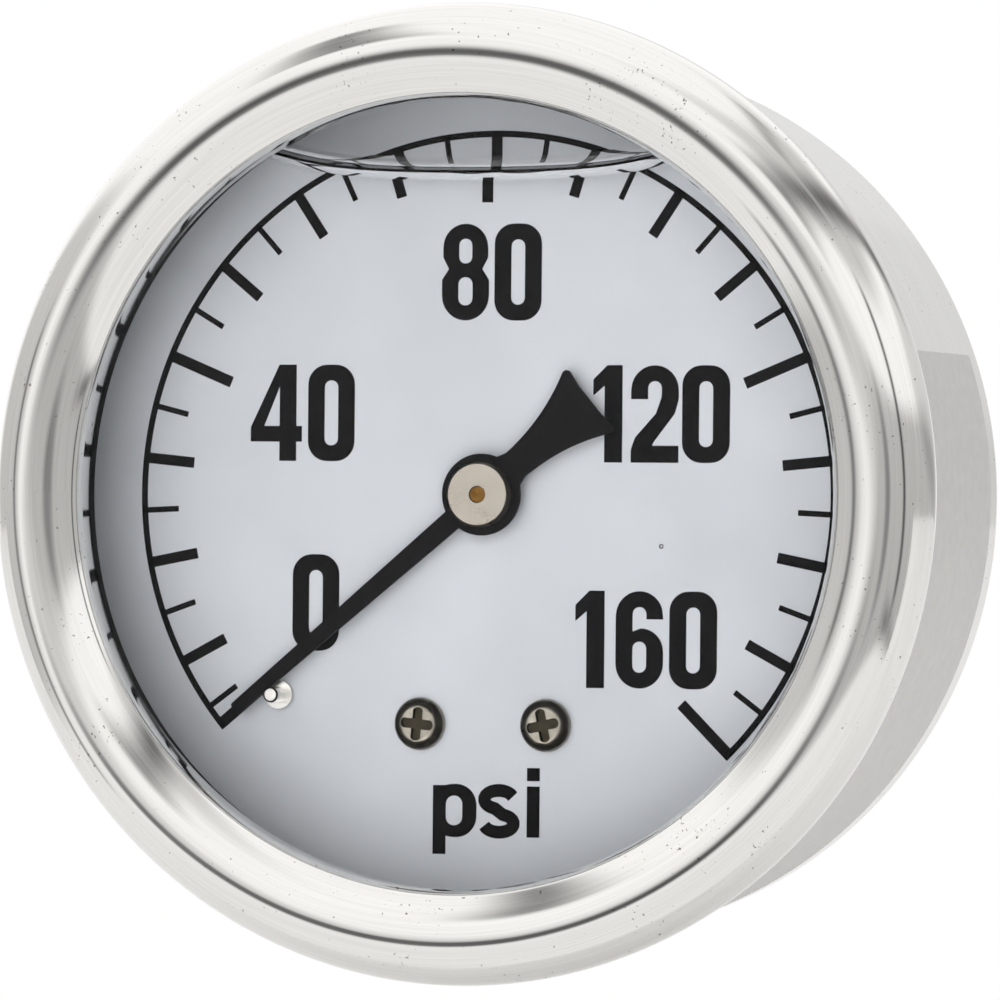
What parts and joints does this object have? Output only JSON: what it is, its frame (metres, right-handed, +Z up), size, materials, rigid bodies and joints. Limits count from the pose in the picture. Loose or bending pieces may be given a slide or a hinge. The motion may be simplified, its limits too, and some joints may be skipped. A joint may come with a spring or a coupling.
{
  "type": "pressure gauge",
  "caption": "Round liquid-filled pressure gauge with a crimped polished bezel, white dial, black pointer, Bourdon tube movement and a centre back pipe thread",
  "frame": {"origin": "the middle of the stem's end face", "axes": "+Y out of the stem's end along the thread, -Y the way the dial faces, +Z up through 12 o'clock on the dial, +X through 3 o'clock"},
  "size_m": [0.068, 0.0541, 0.068],
  "materials": {
    "polished_steel": "polished stainless steel sheet",
    "window": "clear polycarbonate",
    "dial_enamel": "white enamel with black print",
    "black_enamel": "satin black enamel",
    "nickel": "nickel plate",
    "bright_steel": "turned bright steel",
    "brass": "machined brass",
    "bronze": "phosphor bronze",
    "rubber": "matt black rubber"
  },
  "bodies": {
    "housing": {"case": "polished_steel", "bezel_ring": "polished_steel", "window": "window", "window_gasket": "rubber", "dial": "dial_enamel", "dial_screw_left": "nickel", "dial_screw_right": "nickel", "dial_post_left": "brass", "dial_post_right": "brass", "stop_pin": "nickel", "front_plate": "brass", "back_plate": "brass", "pillar_left": "brass", "pillar_upper": "brass", "pillar_lower": "brass", "plate_screw_left": "bright_steel", "plate_screw_upper": "bright_steel", "plate_screw_lower": "bright_steel", "movement_screw_upper": "bright_steel", "movement_screw_lower": "bright_steel", "hairspring": "bronze", "hairspring_stud": "brass", "bourdon_tube": "bronze", "socket": "brass", "socket_seal": "rubber", "restrictor": "bright_steel", "passage_plug": "brass", "case_screw_left": "bright_steel", "case_screw_right": "bright_steel", "fill_plug": "rubber"},
    "pointer": {"pointer_blade": "black_enamel", "pointer_hub": "nickel", "pinion_shaft": "brass", "hairspring_collet": "brass"},
    "sector": {"sector_gear": "brass", "sector_arbor": "bright_steel", "link_pin_sector": "bright_steel"},
    "link": {"drive_link": "bright_steel"},
    "tip": {"tube_tip": "brass", "link_pin_tip": "bright_steel"}
  },
  "joints": [
    {"name": "sector_swing", "type": "hinge", "parent": "housing", "child": "sector", "pos_m": [0.0108, -0.0347, 0], "axis": [0, 1, 0], "range_deg": [-33.12, 0], "stiffness_Nm_per_rad": 0.005, "springref_deg": 2.86},
    {"name": "pointer_turn", "type": "hinge", "parent": "housing", "child": "pointer", "pos_m": [0, -0.042, 0], "axis": [0, 1, 0], "range_deg": [0, 265], "deforming": ["hairspring"]},
    {"name": "link_turn", "type": "hinge", "parent": "sector", "child": "link", "pos_m": [0.01652, -0.0339, -0.0017], "axis": [0, 1, 0], "range_deg": [0, 33.2]},
    {"name": "tip_flex", "type": "hinge", "parent": "housing", "child": "tip", "pos_m": [-0.0078, -0.0274, 0.00705], "axis": [0, 1, 0], "range_deg": [-8.2, 0], "deforming": ["bourdon_tube"]}
  ],
  "couplings": [
    {"joint": "pointer_turn", "follows": "sector_swing", "ratio": -8},
    {"joint": "link_turn", "follows": "sector_swing", "ratio": -1},
    {"joint": "tip_flex", "follows": "sector_swing", "ratio": 0.2424}
  ]
}
